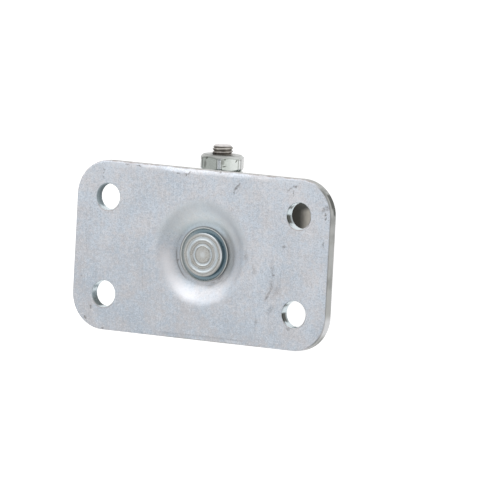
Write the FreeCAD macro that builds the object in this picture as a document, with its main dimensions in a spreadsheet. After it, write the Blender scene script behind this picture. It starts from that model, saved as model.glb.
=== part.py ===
"""A swivel plate caster with a dished plate, a pressed fork on two rings of balls, and a rubber tyre.

The origin is the middle of the plate's mounting face, on the swivel axis. +Z points out of that
face, +X runs along the plate's long side, and +Y along the axle towards its nut. Sizes are in mm.
"""
import FreeCAD
import Part
import Sketcher
import math
import os
import re

from FreeCAD import Rotation, Vector

DRIVING_SIZES = {
    # Top plate
    "plate_length": 100,
    "plate_width": 58.4,
    "plate_thickness": 3.2,
    "plate_corner_radius": 12.3,
    "plate_edge_roll": 0.6,
    "edge_draw_length": 84,
    "edge_draw_width": 1.8,
    "edge_draw_depth": 0.7,
    "bolt_spacing_long": 75,
    "bolt_spacing_short": 33.4,
    "bolt_hole_diameter": 9,
    "hole_edge_roll": 0.35,
    # Dish in the middle of the plate
    "dish_depth": 3.2,
    "dish_floor_radius": 10.9,
    "dish_slope_angle": 27.5,
    "dish_brow_radius": 5,
    "dish_toe_radius": 1.5,
    # King pin and its riveted head
    "neck_diameter": 11,
    "shank_diameter": 13,
    "head_drop": 1.4,
    "head_diameter": 18.6,
    "head_collar_drop": 2.45,
    "head_groove_drop": 3,
    "head_collar_width": 0.3,
    "head_collar_slope": 0.45,
    "button_diameter": 14.9,
    "button_rim": 0.25,
    "button_flare": 0.25,
    "ring_small_radius": 3.35,
    "ring_large_radius": 5.55,
    "ring_section_radius": 0.6,
    "ring_depth": 0.25,
    "foot_diameter": 19.5,
    "foot_thickness": 3.2,
    "foot_chamfer": 0.6,
    # Ball races
    "upper_ball_diameter": 4.76,
    "upper_ball_count": 22,
    "upper_pitch_radius": 18.6,
    "lower_ball_diameter": 4,
    "lower_ball_count": 16,
    "lower_pitch_radius": 11.5,
    "race_clearance": 0.12,
    "plate_race_depth": 0.5,
    "fork_race_depth": 0.8,
    "lower_race_depth": 0.6,
    "cup_thickness": 2.6,
    "cup_diameter": 31,
    "cup_rim_width": 1.2,
    "cup_rim_height": 1.4,
    # Fork
    "fork_thickness": 3,
    "fork_bend_radius": 2.5,
    "joggle_radius": 4,
    "joggle_top": 12,
    "joggle_height": 10,
    "joggle_step": 1.4,
    "swivel_head_diameter": 47,
    "swivel_lip_width": 2.2,
    "swivel_lip_gap": 0.9,
    "swivel_lip_roll": 0.9,
    "pin_hole_diameter": 16.6,
    "leg_front": 17,
    "leg_rear": 21,
    "leg_shoulder": 6,
    "leg_end_radius": 12.5,
    "leg_edge_roll": 0.5,
    # Axle
    "axle_trail": 26,
    "axle_drop": 57,
    "axle_diameter": 7.2,
    "axle_hole_diameter": 7.6,
    "bolt_length": 55.3,
    "bolt_end_chamfer": 1,
    "bolt_head_flats": 13,
    "bolt_head_face": 12.2,
    "bolt_head_height": 5.3,
    "nut_flats": 14.4,
    "nut_face": 13,
    "nut_height": 5.7,
    "nut_turn_angle": 22.5,
    "nut_corner_radius": 1.7,
    "hex_chamfer_angle": 35,
    "washer_diameter": 14.6,
    "washer_thickness": 2,
    "washer_split": 1.6,
    "washer_slant": 1.5,
    # Wheel
    "wheel_diameter": 66,
    "tread_width": 33,
    "tread_crown": 0.8,
    "tread_shoulder_radius": 4,
    "tread_thickness": 7.5,
    "rim_thickness": 3.5,
    "rim_inset": 2,
    "web_thickness": 6,
    "rib_thickness": 3,
    "rib_inset": 2.5,
    "rib_root": 0.75,
    "rib_count": 6,
    "boss_diameter": 24,
    "sleeve_length": 38.2,
    "sleeve_diameter": 12,
    "bush_diameter": 17,
    "bush_length": 12,
    "bush_flange_diameter": 21,
    "bush_flange_thickness": 1.2,
    "end_float": 0.2,
    # Fits
    "fixed_clearance": 0.05,
    "running_clearance": 0.05,
}

# Heights and radii that follow from the driving sizes
HALF_LENGTH = "plate_length / 2"
HALF_WIDTH = "plate_width / 2"
DISH_RUN = "dish_depth / tan(dish_slope_angle * 1 deg)"
DISH_MOUTH = f"dish_floor_radius + {DISH_RUN}"
BOSS_SHIFT = "plate_thickness * tan(dish_slope_angle * 0.5 deg)"
BOSS_FLOOR = f"dish_floor_radius + {BOSS_SHIFT}"
BOSS_MOUTH = f"{DISH_MOUTH} + {BOSS_SHIFT}"
BOSS_BOTTOM = "-plate_thickness - dish_depth"
UPPER_SECTION = "upper_ball_diameter / 2 + race_clearance"
LOWER_SECTION = "lower_ball_diameter / 2 + race_clearance"
UPPER_BALL_HEIGHT = f"-plate_thickness + plate_race_depth - ({UPPER_SECTION})"
FORK_TOP = f"{UPPER_BALL_HEIGHT} - ({UPPER_SECTION}) + fork_race_depth"
FORK_UNDERSIDE = f"{FORK_TOP} - fork_thickness"
LOWER_BALL_HEIGHT = f"{FORK_UNDERSIDE} - ({LOWER_SECTION}) + lower_race_depth"
CUP_TOP = f"{LOWER_BALL_HEIGHT} - ({LOWER_SECTION}) + lower_race_depth"
CUP_BOTTOM = f"{CUP_TOP} - cup_thickness"
LEG_INNER = "sleeve_length / 2"
LEG_OUTER = "sleeve_length / 2 + fork_thickness"
CROWN_INNER = f"{LEG_INNER} + joggle_step"
CROWN_OUTER = f"{LEG_OUTER} + joggle_step"
JOGGLE_START = f"{FORK_TOP} - joggle_top"
JOGGLE_END = f"{JOGGLE_START} - joggle_height"
NUT_SEAT = f"{LEG_OUTER} + washer_thickness"
BUSH_FACE = "sleeve_length / 2 - end_float"
BOSS_HALF = f"{BUSH_FACE} - bush_flange_thickness"
RIM_RADIUS = "wheel_diameter / 2 - tread_thickness"

# Turns that lay a part's own axis along the axle
TOWARDS_NUT = Rotation(Vector(1, 0, 0), -90)
TOWARDS_HEAD = Rotation(Vector(1, 0, 0), 90)

document = FreeCAD.newDocument("caster")
sizes = document.addObject("Spreadsheet::Sheet", "Sizes")


def write_sizes():
    """Put each driving size in the sheet, with its name as alias."""
    for row, (name, value) in enumerate(DRIVING_SIZES.items(), 1):
        sizes.set(f"A{row}", name)
        sizes.set(f"B{row}", str(value))
        sizes.setAlias(f"B{row}", name)
    document.recompute()


def bound(formula):
    """Return the formula with each size's name pointing into the sheet."""
    return re.sub(r"[a-z]+(?:_[a-z]+)+", lambda name: f"Sizes.{name.group()}", formula)


def value_of(formula):
    """Return a formula's present value."""
    return float(sizes.evalExpression(bound(formula)))


def point(x, y):
    """Return a sketch point from two formulas."""
    return Vector(value_of(x), value_of(y), 0)


# Sketches
def new_body(label):
    """Start a named sub-part."""
    body = document.addObject("PartDesign::Body", label)
    body.Label = label
    return body


def place_on_axle(body, along, turn=TOWARDS_NUT):
    """Lay a sub-part's own axis along the axle, with its origin at a distance along Y."""
    body.Placement = FreeCAD.Placement(Vector(), turn)
    body.setExpression("Placement.Base.x", bound("-axle_trail"))
    body.setExpression("Placement.Base.y", bound(along))
    body.setExpression("Placement.Base.z", bound("-axle_drop"))


def new_sketch(body, name, role="XZ_Plane"):
    """Start a sketch on one of the body's own planes."""
    sketch = body.newObject("Sketcher::SketchObject", f"{body.Label}_{name}")
    plane = next(item for item in body.Origin.OriginFeatures if item.Role == role)
    sketch.AttachmentSupport = (plane, [""])
    sketch.MapMode = "FlatFace"
    return sketch


def constrain(sketch, formula, *constraint):
    """Add a dimension that follows a formula."""
    index = sketch.addConstraint(Sketcher.Constraint(*constraint, value_of(formula)))
    sketch.setExpression(f"Constraints[{index}]", bound(formula))


def pin(sketch, geometry, end, x, y):
    """Hold one point of a line or arc at two distances from the sketch's origin."""
    constrain(sketch, x, "DistanceX", -1, 1, geometry, end)
    constrain(sketch, y, "DistanceY", -1, 1, geometry, end)


def join(sketch, first, second):
    """Join the end of one line to the start of the next."""
    sketch.addConstraint(Sketcher.Constraint("Coincident", first, 2, second, 1))


def draw_polygon(sketch, corners):
    """Draw a closed outline through corners given as pairs of formulas."""
    places = [point(x, y) for x, y in corners]
    ends = places[1:] + places[:1]
    lines = [sketch.addGeometry(Part.LineSegment(a, b)) for a, b in zip(places, ends)]
    for line, (x, y) in zip(lines, corners):
        pin(sketch, line, 1, x, y)
    for line, following in zip(lines, lines[1:] + lines[:1]):
        join(sketch, line, following)


def draw_bowed(sketch, corners, summit, radius):
    """Draw lines through the corners, and close them with an arc from the last over its summit."""
    places = [point(x, y) for x, y in corners]
    lines = [sketch.addGeometry(Part.LineSegment(a, b)) for a, b in zip(places, places[1:])]
    arc = sketch.addGeometry(Part.Arc(places[-1], point(*summit), places[0]))
    loop = lines + [arc]
    for line, following in zip(loop, loop[1:] + loop[:1]):
        join(sketch, line, following)
    for line, (x, y) in zip(loop, corners):
        pin(sketch, line, 1, x, y)
    constrain(sketch, radius, "Radius", arc)


def draw_circle(sketch, x, y, radius):
    """Draw a circle from formulas for its middle and radius."""
    circle = sketch.addGeometry(Part.Circle(point(x, y), Vector(0, 0, 1), value_of(radius)))
    pin(sketch, circle, 3, x, y)
    constrain(sketch, radius, "Radius", circle)


def rectangle(x_low, x_high, y_low, y_high):
    """Return the four corners of a rectangle."""
    return [(x_low, y_low), (x_high, y_low), (x_high, y_high), (x_low, y_high)]


def hexagon(flats):
    """Return the six corners of a hexagon from its width across flats."""
    reach = f"{flats} / 2 / cos(30 deg)"
    turns = range(0, 360, 60)
    return [(f"{reach} * cos({turn} deg)", f"{reach} * sin({turn} deg)") for turn in turns]


# Features
def pad(body, sketch, length, side="One side", downwards=False):
    """Raise a sketch into a solid."""
    feature = body.newObject("PartDesign::Pad", f"{sketch.Name}_pad")
    feature.Profile = sketch
    feature.SideType = side
    feature.Reversed = downwards
    feature.setExpression("Length", bound(length))
    return feature


def cut_through(body, sketch):
    """Cut a sketch through the whole solid, both ways."""
    feature = body.newObject("PartDesign::Pocket", f"{sketch.Name}_cut")
    feature.Profile = sketch
    feature.SideType = "Symmetric"
    feature.Type = "ThroughAll"
    return feature


def turn_about_axis(body, sketch, kind="Revolution", axis="V_Axis"):
    """Turn a sketch about one of its axes, to add or to remove a ring."""
    feature = body.newObject(f"PartDesign::{kind}", f"{sketch.Name}_turn")
    feature.Profile = sketch
    feature.ReferenceAxis = (sketch, [axis])
    feature.Angle = 360
    return feature


def turned(body, name, corners):
    """Add a solid of revolution with this half section."""
    sketch = new_sketch(body, name)
    draw_polygon(sketch, corners)
    return turn_about_axis(body, sketch)


def cut_ring(body, name, corners):
    """Remove a ring with this half section."""
    sketch = new_sketch(body, name)
    draw_polygon(sketch, corners)
    return turn_about_axis(body, sketch, "Groove")


def cut_race(body, name, pitch_radius, height, section):
    """Remove the round groove that a ring of balls runs in."""
    sketch = new_sketch(body, name)
    draw_circle(sketch, pitch_radius, height, section)
    return turn_about_axis(body, sketch, "Groove")


def cut_bore(body, name, radius, role="XY_Plane"):
    """Cut a round hole through the body along its own axis."""
    sketch = new_sketch(body, name, role)
    draw_circle(sketch, "0", "0", radius)
    return cut_through(body, sketch)


def round_edges(body, name, radius, wanted):
    """Round the edges of the body so far that the test wanted accepts."""
    document.recompute()
    base = body.Tip
    edges = [f"Edge{number}" for number, edge in enumerate(base.Shape.Edges, 1) if wanted(edge)]
    feature = body.newObject("PartDesign::Fillet", f"{body.Label}_{name}")
    feature.Base = (base, edges)
    feature.setExpression("Radius", bound(radius))
    return feature


def near(first, second):
    """Tell whether two lengths are the same."""
    return abs(first - second) < 0.01


def ring_edge(radius, height):
    """Return a test for whole circles of this radius at this height."""
    def wanted(edge):
        curve = edge.Curve
        if not isinstance(curve, Part.Circle) or not edge.isClosed():
            return False
        return near(curve.Radius, value_of(radius)) and near(curve.Center.z, value_of(height))
    return wanted


def bend_edge(across, height):
    """Return a test for straight edges along X at plus or minus this Y, at this height."""
    def wanted(edge):
        middle = edge.CenterOfMass
        level = near(edge.BoundBox.ZLength, 0) and near(edge.BoundBox.YLength, 0)
        return level and near(abs(middle.y), value_of(across)) and near(middle.z, value_of(height))
    return wanted


def upright_edge(edge):
    """Tell whether an edge is a straight one along Z."""
    return near(edge.BoundBox.XLength, 0) and near(edge.BoundBox.YLength, 0)


# Top plate
def on_plate_border(edge):
    """Tell whether an edge of the mounting face belongs to the plate's outer border."""
    box = edge.BoundBox
    reach_x = max(abs(box.XMin), abs(box.XMax))
    reach_y = max(abs(box.YMin), abs(box.YMax))
    outer = near(reach_x, value_of(HALF_LENGTH)) or near(reach_y, value_of(HALF_WIDTH))
    return near(box.ZMin, 0) and near(box.ZMax, 0) and outer


def make_top_plate():
    """Press the plate: a rounded blank, a dish with its boss below, five holes and a coined race."""
    body = new_body("top_plate")
    blank = new_sketch(body, "blank", "XY_Plane")
    outline = rectangle(f"-{HALF_LENGTH}", HALF_LENGTH, f"-{HALF_WIDTH}", HALF_WIDTH)
    draw_polygon(blank, outline)
    pad(body, blank, "plate_thickness", downwards=True)
    round_edges(body, "corners", "plate_corner_radius", upright_edge)
    make_dish(body)
    cut_bore(body, "pin_hole", "neck_diameter / 2 + fixed_clearance")
    cut_bolt_holes(body)
    round_edges(body, "border", "plate_edge_roll", on_plate_border)
    round_edges(body, "hole_mouths", "hole_edge_roll", ring_edge("bolt_hole_diameter / 2", "0"))
    draw_long_edges(body)
    cut_race(body, "race", "upper_pitch_radius", UPPER_BALL_HEIGHT, UPPER_SECTION)


def make_dish(body):
    """Form the dish with an even wall, sloped sides and soft bends."""
    turned(body, "boss", [
        ("0", "-plate_thickness"),
        (BOSS_MOUTH, "-plate_thickness"),
        (BOSS_FLOOR, BOSS_BOTTOM),
        ("0", BOSS_BOTTOM),
    ])
    cut_ring(body, "dish", [
        ("0", "0"),
        (DISH_MOUTH, "0"),
        ("dish_floor_radius", "-dish_depth"),
        ("0", "-dish_depth"),
    ])
    round_edges(body, "brow", "dish_brow_radius", ring_edge(DISH_MOUTH, "0"))
    round_edges(body, "toe", "dish_toe_radius", ring_edge("dish_floor_radius", "-dish_depth"))
    round_edges(body, "boss_toe", "dish_toe_radius + plate_thickness", ring_edge(BOSS_FLOOR, BOSS_BOTTOM))


def cut_bolt_holes(body):
    """Punch the four bolt holes."""
    sketch = new_sketch(body, "bolt_holes", "XY_Plane")
    for side in ("", "-"):
        for end in ("", "-"):
            x = f"{side}bolt_spacing_long / 2"
            y = f"{end}bolt_spacing_short / 2"
            draw_circle(sketch, x, y, "bolt_hole_diameter / 2")
    cut_through(body, sketch)


def draw_long_edges(body):
    """Draw the long edges down along their middle, as the dish pulls them in.

    A round-topped section turns about a far upright axis, so that its cut is widest at the middle of
    the edge and runs out towards the plate's corners.
    """
    start = f"({HALF_WIDTH} - edge_draw_width)"
    outside = f"{HALF_WIDTH} + edge_draw_width"
    roll = "(edge_draw_width ^ 2 + edge_draw_depth ^ 2) / (2 * edge_draw_depth)"
    sweep = "((edge_draw_length / 2) ^ 2 + edge_draw_width ^ 2) / (2 * edge_draw_width)"
    summit = (f"{start} + edge_draw_width / 2", "-edge_draw_depth / 4")
    sketch = new_sketch(body, "edge_draw", "YZ_Plane")
    draw_bowed(sketch, [
        (start, "0"),
        (outside, "0"),
        (outside, "-edge_draw_depth"),
        (HALF_WIDTH, "-edge_draw_depth"),
    ], summit, roll)
    far = f"{start} + {sweep}"
    axis = sketch.addGeometry(Part.LineSegment(point(far, "0"), point(far, "plate_thickness")), True)
    pin(sketch, axis, 1, far, "0")
    pin(sketch, axis, 2, far, "plate_thickness")
    groove = turn_about_axis(body, sketch, "Groove", "Axis0")
    other_edge = body.newObject("PartDesign::Mirrored", "top_plate_other_edge")
    other_edge.Originals = [groove]
    other_edge.MirrorPlane = (sketch, ["V_Axis"])
    body.Tip = other_edge


# King pin, with the head riveted into the dish
def make_king_pin():
    """Turn the pin: foot, shank, neck and a collared head with two rolled rings."""
    body = new_body("king_pin")
    neck = "neck_diameter / 2"
    shank = "shank_diameter / 2"
    foot = "foot_diameter / 2"
    foot_bottom = f"{CUP_BOTTOM} - foot_thickness"
    button = "button_diameter / 2"
    collar = "head_diameter / 2"
    collar_inside = f"{collar} - head_collar_width"
    turned(body, "section", [
        ("0", "-head_drop"),
        (f"{button} - button_rim", "-head_drop"),
        (button, "-head_drop - button_rim"),
        (f"{button} + button_flare", "-head_groove_drop"),
        (f"{collar_inside} - head_collar_slope", "-head_groove_drop"),
        (collar_inside, "-head_collar_drop"),
        (collar, "-head_collar_drop"),
        (collar, "-dish_depth"),
        (neck, "-dish_depth"),
        (neck, BOSS_BOTTOM),
        (shank, BOSS_BOTTOM),
        (shank, CUP_BOTTOM),
        (foot, CUP_BOTTOM),
        (foot, f"{foot_bottom} + foot_chamfer"),
        (f"{foot} - foot_chamfer", foot_bottom),
        ("0", foot_bottom),
    ])
    ring_height = "-head_drop + ring_section_radius - ring_depth"
    for name in ("ring_small", "ring_large"):
        cut_race(body, name, f"{name}_radius", ring_height, "ring_section_radius")


# Lower race, held up by the king pin's foot
def make_lower_race():
    """Press the ring: a flat floor with a groove for the balls and a raised rim."""
    body = new_body("lower_race")
    bore = "shank_diameter / 2 + fixed_clearance"
    outside = "cup_diameter / 2"
    rim_inside = f"{outside} - cup_rim_width"
    rim_top = f"{CUP_TOP} + cup_rim_height"
    turned(body, "section", [
        (bore, CUP_BOTTOM),
        (outside, CUP_BOTTOM),
        (outside, rim_top),
        (rim_inside, rim_top),
        (rim_inside, CUP_TOP),
        (bore, CUP_TOP),
    ])
    cut_race(body, "race", "lower_pitch_radius", LOWER_BALL_HEIGHT, LOWER_SECTION)


# Fork
def strap_corners():
    """Return the strap's folded section, seen along X: a flat crown and two legs with a joggle."""
    bottom = "-axle_drop - leg_end_radius - fork_thickness"
    outer = [
        (LEG_OUTER, bottom),
        (LEG_OUTER, JOGGLE_END),
        (CROWN_OUTER, JOGGLE_START),
        (CROWN_OUTER, FORK_TOP),
    ]
    inner = [
        (LEG_INNER, bottom),
        (LEG_INNER, JOGGLE_END),
        (CROWN_INNER, JOGGLE_START),
        (CROWN_INNER, FORK_UNDERSIDE),
    ]
    return outer + mirrored(outer) + mirrored(inner)[::-1] + inner[::-1]


def mirrored(corners):
    """Return corners on the other side of the sketch's upright axis, in the opposite order."""
    return [(f"-({x})", y) for x, y in reversed(corners)]


def touching_angle(middle, reach, outside, side):
    """Return where a line from an outside point touches a circle; side is 1 or -1."""
    away = outside - middle
    return math.atan2(away.y, away.x) + side * math.acos(reach / away.Length)


def draw_leg_outline(sketch):
    """Draw the side view that the legs keep: straight edges that run into a round end at the axle."""
    shoulder = f"{FORK_UNDERSIDE} - leg_shoulder"
    corners = [("-leg_rear", shoulder), ("-leg_rear", "plate_thickness"),
               ("leg_front", "plate_thickness"), ("leg_front", shoulder)]
    axle = point("-axle_trail", "-axle_drop")
    reach = value_of("leg_end_radius")
    places = [point(x, y) for x, y in corners]
    path = [axle - Vector(reach, 0, 0)] + places + [axle + Vector(reach, 0, 0)]
    lines = [sketch.addGeometry(Part.LineSegment(a, b)) for a, b in zip(path, path[1:])]
    for line, following, (x, y) in zip(lines, lines[1:], corners):
        join(sketch, line, following)
        pin(sketch, following, 1, x, y)
    start = touching_angle(axle, reach, places[0], 1)
    finish = touching_angle(axle, reach, places[-1], -1)
    circle = Part.Circle(axle, Vector(0, 0, 1), reach)
    end = sketch.addGeometry(Part.ArcOfCircle(circle, start, finish))
    pin(sketch, end, 3, "-axle_trail", "-axle_drop")
    constrain(sketch, "leg_end_radius", "Radius", end)
    sketch.addConstraint(Sketcher.Constraint("Tangent", lines[0], 1, end, 1))
    sketch.addConstraint(Sketcher.Constraint("Tangent", lines[-1], 2, end, 2))


def make_fork():
    """Fold the strap, trim the legs to their side view, and add the swivel head with its two races."""
    body = new_body("fork")
    strap = new_sketch(body, "strap", "YZ_Plane")
    draw_polygon(strap, strap_corners())
    pad(body, strap, "plate_length * 2", side="Symmetric")
    fold_strap(body)
    trim = new_sketch(body, "trim")
    draw_leg_outline(trim)
    draw_polygon(trim, rectangle("-plate_length", "plate_length", "-axle_drop * 2", "plate_width"))
    cut_through(body, trim)
    round_leg_edges(body)
    add_swivel_head(body)
    axle_hole = new_sketch(body, "axle_hole")
    draw_circle(axle_hole, "-axle_trail", "-axle_drop", "axle_hole_diameter / 2")
    cut_through(body, axle_hole)


def fold_strap(body):
    """Round the strap's folds, inside and out."""
    round_edges(body, "fold_outside", "fork_bend_radius + fork_thickness", bend_edge(CROWN_OUTER, FORK_TOP))
    round_edges(body, "fold_inside", "fork_bend_radius", bend_edge(CROWN_INNER, FORK_UNDERSIDE))
    joggles = {
        "upper_outside": (CROWN_OUTER, JOGGLE_START),
        "upper_inside": (CROWN_INNER, JOGGLE_START),
        "lower_outside": (LEG_OUTER, JOGGLE_END),
        "lower_inside": (LEG_INNER, JOGGLE_END),
    }
    for name, (across, height) in joggles.items():
        round_edges(body, f"joggle_{name}", "joggle_radius", bend_edge(across, height))


def follows_axle(face):
    """Tell whether a face of the strap was left by the cut along the axle."""
    surface = face.Surface
    if isinstance(surface, Part.Cylinder):
        return near(abs(surface.Axis.y), 1)
    return isinstance(surface, Part.Plane) and near(surface.Axis.y, 0) and not near(surface.Axis.x, 0)


def round_leg_edges(body):
    """Take the sharp edge off the strap's cut outline."""
    document.recompute()
    strap = body.Tip.Shape

    def wanted(edge):
        faces = strap.ancestorsOfType(edge, Part.Face)
        return sum(follows_axle(face) for face in faces) == 1
    round_edges(body, "leg_edges", "leg_edge_roll", wanted)


def add_swivel_head(body):
    """Add the round head with its raised lip, then cut the upper and lower race and the pin's hole."""
    outside = "swivel_head_diameter / 2"
    lip_inside = f"{outside} - swivel_lip_width"
    lip_top = "-plate_thickness - swivel_lip_gap"
    turned(body, "head", [
        ("0", FORK_UNDERSIDE),
        (outside, FORK_UNDERSIDE),
        (outside, lip_top),
        (lip_inside, lip_top),
        (lip_inside, FORK_TOP),
        ("0", FORK_TOP),
    ])
    round_edges(body, "lip", "swivel_lip_roll", ring_edge(outside, lip_top))
    cut_race(body, "upper_race", "upper_pitch_radius", UPPER_BALL_HEIGHT, UPPER_SECTION)
    cut_race(body, "lower_race", "lower_pitch_radius", LOWER_BALL_HEIGHT, LOWER_SECTION)
    cut_bore(body, "pin_hole", "pin_hole_diameter / 2")


# Axle
def chamfer_corners(body, name, flats, face, height, inwards):
    """Turn a slanted ring off a hexagon's corners; inwards is 1 or -1, towards the metal."""
    start = f"{face} / 2"
    drop = f"({flats} - {start}) * tan(hex_chamfer_angle * 1 deg)"
    cut_ring(body, name, [(start, height), (flats, height), (flats, f"{height} + {inwards} * {drop}")])


def make_axle_bolt():
    """Make the bolt: a chamfered hexagon head and a plain shank, along its own axis from under the head."""
    body = new_body("axle_bolt")
    head = new_sketch(body, "head", "XY_Plane")
    draw_polygon(head, hexagon("bolt_head_flats"))
    pad(body, head, "bolt_head_height", downwards=True)
    chamfer_corners(body, "head_chamfer", "bolt_head_flats", "bolt_head_face", "-bolt_head_height", 1)
    shank = "axle_diameter / 2"
    turned(body, "shank", [
        ("0", "-bolt_head_height / 2"),
        (shank, "-bolt_head_height / 2"),
        (shank, "bolt_length - bolt_end_chamfer"),
        (f"{shank} - bolt_end_chamfer", "bolt_length"),
        ("0", "bolt_length"),
    ])
    place_on_axle(body, f"-({LEG_OUTER})")


def make_axle_nut():
    """Make the nut: a round-cornered hexagon, chamfered at both faces, turned to its place."""
    body = new_body("axle_nut")
    outline = new_sketch(body, "outline", "XY_Plane")
    draw_polygon(outline, hexagon("nut_flats"))
    pad(body, outline, "nut_height")
    round_edges(body, "corners", "nut_corner_radius", upright_edge)
    chamfer_corners(body, "outer_chamfer", "nut_flats", "nut_face", "nut_height", -1)
    chamfer_corners(body, "inner_chamfer", "nut_flats", "nut_face", "0", 1)
    cut_bore(body, "bore", "axle_diameter / 2 + fixed_clearance")
    turn = Rotation(Vector(0, 0, 1), -90 + value_of("nut_turn_angle"))
    place_on_axle(body, NUT_SEAT, TOWARDS_NUT.multiply(turn))


def make_lock_washer():
    """Make the washer: a flat ring with one slanted split."""
    body = new_body("lock_washer")
    ring = new_sketch(body, "ring", "XY_Plane")
    draw_circle(ring, "0", "0", "washer_diameter / 2")
    draw_circle(ring, "0", "0", "axle_hole_diameter / 2")
    pad(body, ring, "washer_thickness")
    split = new_sketch(body, "split", "YZ_Plane")
    draw_polygon(split, [
        ("-washer_split / 2 - washer_slant / 2", "0"),
        ("washer_split / 2 - washer_slant / 2", "0"),
        ("washer_split / 2 + washer_slant / 2", "washer_thickness"),
        ("-washer_split / 2 + washer_slant / 2", "washer_thickness"),
    ])
    cut = body.newObject("PartDesign::Pocket", "lock_washer_split_cut")
    cut.Profile = split
    cut.setExpression("Length", bound("washer_diameter"))
    place_on_axle(body, LEG_OUTER)


def make_axle_sleeve():
    """Make the tube that the bolt clamps between the legs."""
    body = new_body("axle_sleeve")
    ring = new_sketch(body, "ring", "XY_Plane")
    draw_circle(ring, "0", "0", "sleeve_diameter / 2")
    draw_circle(ring, "0", "0", "axle_hole_diameter / 2")
    pad(body, ring, "sleeve_length", side="Symmetric")
    place_on_axle(body, "0")


# Wheel
def make_wheel_hub():
    """Mould the core: a boss, a web and a rim in one turn, with ribs on both sides of the web."""
    body = new_body("wheel_hub")
    bore = "bush_diameter / 2 + fixed_clearance"
    boss = "boss_diameter / 2"
    rim_inside = f"{RIM_RADIUS} - rim_thickness"
    rim_half = "tread_width / 2 - rim_inset"
    web_half = "web_thickness / 2"
    upper = [(bore, BOSS_HALF), (boss, BOSS_HALF), (boss, web_half), (rim_inside, web_half),
             (rim_inside, rim_half), (RIM_RADIUS, rim_half)]
    lower = [(x, f"-({y})") for x, y in reversed(upper)]
    turned(body, "section", upper + lower)
    rib = new_sketch(body, "rib", "XY_Plane")
    rib_half = "rib_thickness / 2"
    draw_polygon(rib, rectangle(f"{boss} - rib_root", f"{rim_inside} + rib_root", f"-{rib_half}", rib_half))
    first = pad(body, rib, f"({rim_half} - rib_inset) * 2", side="Symmetric")
    pattern = body.newObject("PartDesign::PolarPattern", "wheel_hub_ribs")
    pattern.Originals = [first]
    pattern.Axis = (rib, ["N_Axis"])
    pattern.Angle = 360
    pattern.setExpression("Occurrences", bound("rib_count"))
    body.Tip = pattern
    place_on_axle(body, "0")


def make_tread():
    """Mould the tyre: a ring with a crowned running face and round shoulders."""
    body = new_body("tread")
    sketch = new_sketch(body, "section")
    inside = f"{RIM_RADIUS} + fixed_clearance"
    edge = "wheel_diameter / 2 - tread_crown"
    half = "tread_width / 2"
    corners = [(edge, half), (inside, half), (inside, f"-{half}"), (edge, f"-{half}")]
    crown = f"(tread_crown ^ 2 + ({half}) ^ 2) / (2 * tread_crown)"
    draw_bowed(sketch, corners, ("wheel_diameter / 2", "0"), crown)
    turn_about_axis(body, sketch)
    round_edges(body, "shoulder_up", "tread_shoulder_radius", ring_edge(edge, half))
    round_edges(body, "shoulder_down", "tread_shoulder_radius", ring_edge(edge, f"-{half}"))
    place_on_axle(body, "0")


def make_bush(label, along, turn):
    """Mould a flanged bush, with its own axis pointing out of the wheel."""
    body = new_body(label)
    bore = "sleeve_diameter / 2 + running_clearance"
    barrel = "bush_diameter / 2"
    flange = "bush_flange_diameter / 2"
    turned(body, "section", [
        (bore, "0"),
        (flange, "0"),
        (flange, "-bush_flange_thickness"),
        (barrel, "-bush_flange_thickness"),
        (barrel, "-bush_length"),
        (bore, "-bush_length"),
    ])
    place_on_axle(body, along, turn)


# Balls
def make_balls(ring, height):
    """Set the balls of one race evenly round the swivel axis."""
    count = int(value_of(f"{ring}_ball_count"))
    for number in range(1, count + 1):
        ball = document.addObject("Part::Sphere", f"{ring}_ball_{number:02d}")
        ball.Label = ball.Name
        turn = f"{number} * 360 deg / {ring}_ball_count"
        ball.setExpression("Radius", bound(f"{ring}_ball_diameter / 2"))
        ball.setExpression("Placement.Base.x", bound(f"{ring}_pitch_radius * cos({turn})"))
        ball.setExpression("Placement.Base.y", bound(f"{ring}_pitch_radius * sin({turn})"))
        ball.setExpression("Placement.Base.z", bound(height))


# Checking and writing
def sub_parts():
    """Return every named sub-part of the caster."""
    return [item for item in document.Objects if item.TypeId in ("PartDesign::Body", "Part::Sphere")]


def check():
    """Stop if any object failed to build or any sub-part isn't one valid solid."""
    for item in document.Objects:
        if "Invalid" in item.State or "Error" in item.State:
            raise RuntimeError(f"{item.Label} did not build: {item.State}")
    for part in sub_parts():
        if part.Shape.isNull() or not part.Shape.isValid() or len(part.Shape.Solids) != 1:
            raise RuntimeError(f"{part.Label} is not one valid solid")


def write():
    """Write each sub-part to a file of its own."""
    os.makedirs("parts", exist_ok=True)
    for part in sub_parts():
        part.Shape.exportStep(f"parts/{part.Label}.step")


def main():
    """Build, check and write the caster."""
    write_sizes()
    make_top_plate()
    make_king_pin()
    make_lower_race()
    make_fork()
    make_axle_bolt()
    make_axle_nut()
    make_lock_washer()
    make_axle_sleeve()
    make_wheel_hub()
    make_tread()
    make_bush("bush_nut_side", BUSH_FACE, TOWARDS_NUT)
    make_bush("bush_head_side", f"-({BUSH_FACE})", TOWARDS_HEAD)
    make_balls("upper", UPPER_BALL_HEIGHT)
    make_balls("lower", LOWER_BALL_HEIGHT)
    document.recompute()
    check()
    write()


main()
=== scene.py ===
"""Dress the swivel plate caster: finishes for every piece, a rolled thread on the axle, and the studio.

Lengths in the classes are millimetres, because the finishes work in millimetres of the part's own
frame. Meshes, lights and the camera are placed in metres. +Z points out of the mounting face, +X runs
along the plate's long side, and +Y along the axle towards its nut.
"""
import logging
import math
from abc import ABC, abstractmethod
from dataclasses import dataclass
from enum import Enum
from functools import cached_property, partial, reduce

import bpy
import numpy as np
from mathutils import Matrix, Vector


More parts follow.
